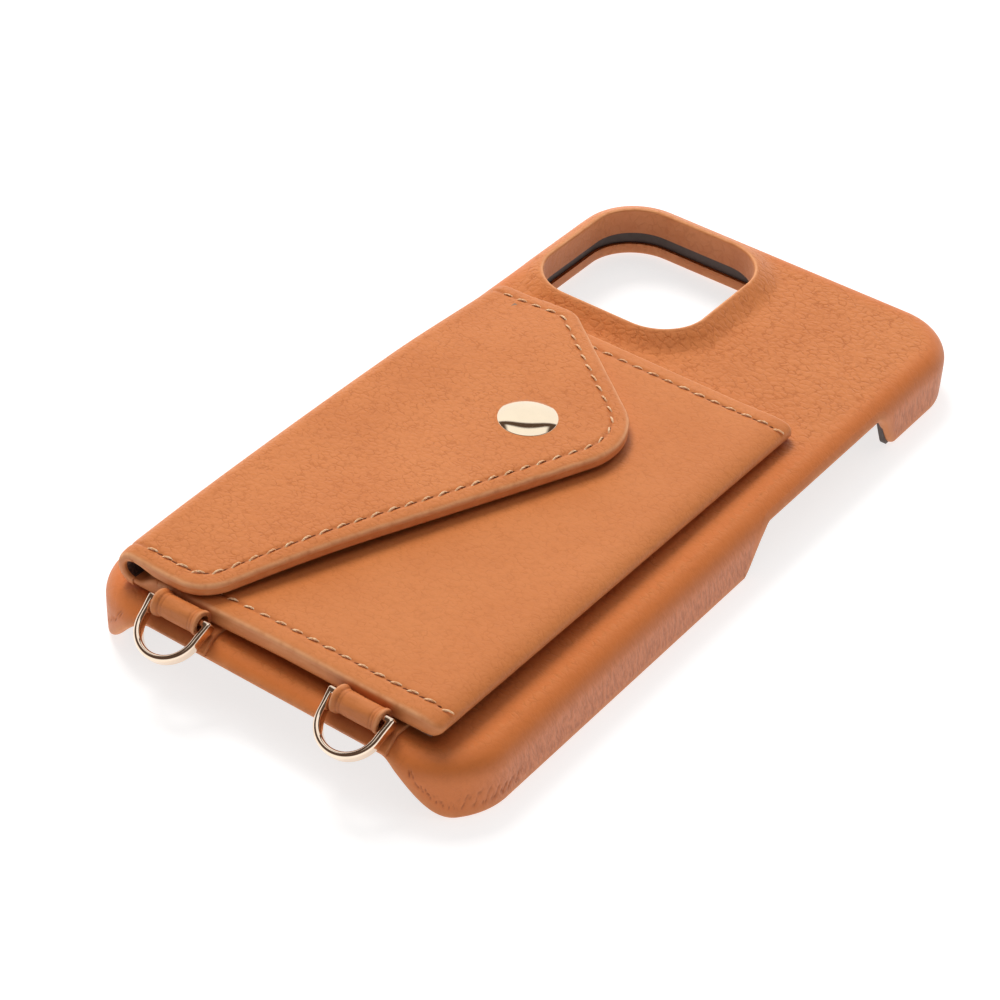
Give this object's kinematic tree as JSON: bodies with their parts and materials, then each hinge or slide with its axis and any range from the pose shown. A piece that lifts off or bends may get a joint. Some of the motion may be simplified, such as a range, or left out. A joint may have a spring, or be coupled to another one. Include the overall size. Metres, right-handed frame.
{
  "type": "phone wallet case",
  "caption": "Leather-covered phone case with a snap-flap card pouch on its back, a raised camera window and D-rings on leather loops at the lower end.",
  "frame": {"origin": "centre of the phone bay in plan, on the plane of the lip that the case lies on", "axes": "+X across the case towards the folded side of the pouch, +Y along the case towards the camera window, +Z out of the case's back"},
  "size_m": [0.0754, 0.1558, 0.0194],
  "materials": {
    "tan_leather": "pebbled, satin",
    "lining_leather": "smooth, satin",
    "suede": "matte nap",
    "microfibre": "matte nap",
    "tray_plastic": "matte",
    "board": "matte",
    "adhesive": "matte",
    "pale_gold": "polished",
    "spring_steel": "plain"
  },
  "bodies": {
    "case": {"leather_cover": "tan_leather", "inner_shell": "tray_plastic", "shell_lining": "microfibre", "strap_loop_left": "tan_leather", "strap_loop_right": "tan_leather", "pouch_bond": "adhesive", "pouch_leather": "tan_leather", "pouch_lining": "suede", "flap_fold": "tan_leather", "fold_lining": "suede", "snap_stud": "pale_gold", "snap_post": "pale_gold"},
    "flap": {"flap_leather": "tan_leather", "flap_stiffener": "board", "flap_lining": "lining_leather", "snap_cap": "pale_gold", "snap_socket": "pale_gold", "snap_spring": "spring_steel"},
    "ring_left": {"d_ring_left": "pale_gold"},
    "ring_right": {"d_ring_right": "pale_gold"}
  },
  "joints": [
    {"name": "flap_hinge", "type": "hinge", "parent": "case", "child": "flap", "pos_m": [-0.0289, 0, 0.0146], "axis": [0, -1, 0], "range_deg": [0, 175], "deforming": ["flap_fold", "fold_lining"]},
    {"name": "ring_left_swing", "type": "hinge", "parent": "case", "child": "ring_left", "pos_m": [-0.0175, -0.0728, 0.01325], "axis": [-1, 0, 0], "range_deg": [0, 125]},
    {"name": "ring_right_swing", "type": "hinge", "parent": "case", "child": "ring_right", "pos_m": [0.0175, -0.0728, 0.01325], "axis": [-1, 0, 0], "range_deg": [0, 145]}
  ]
}
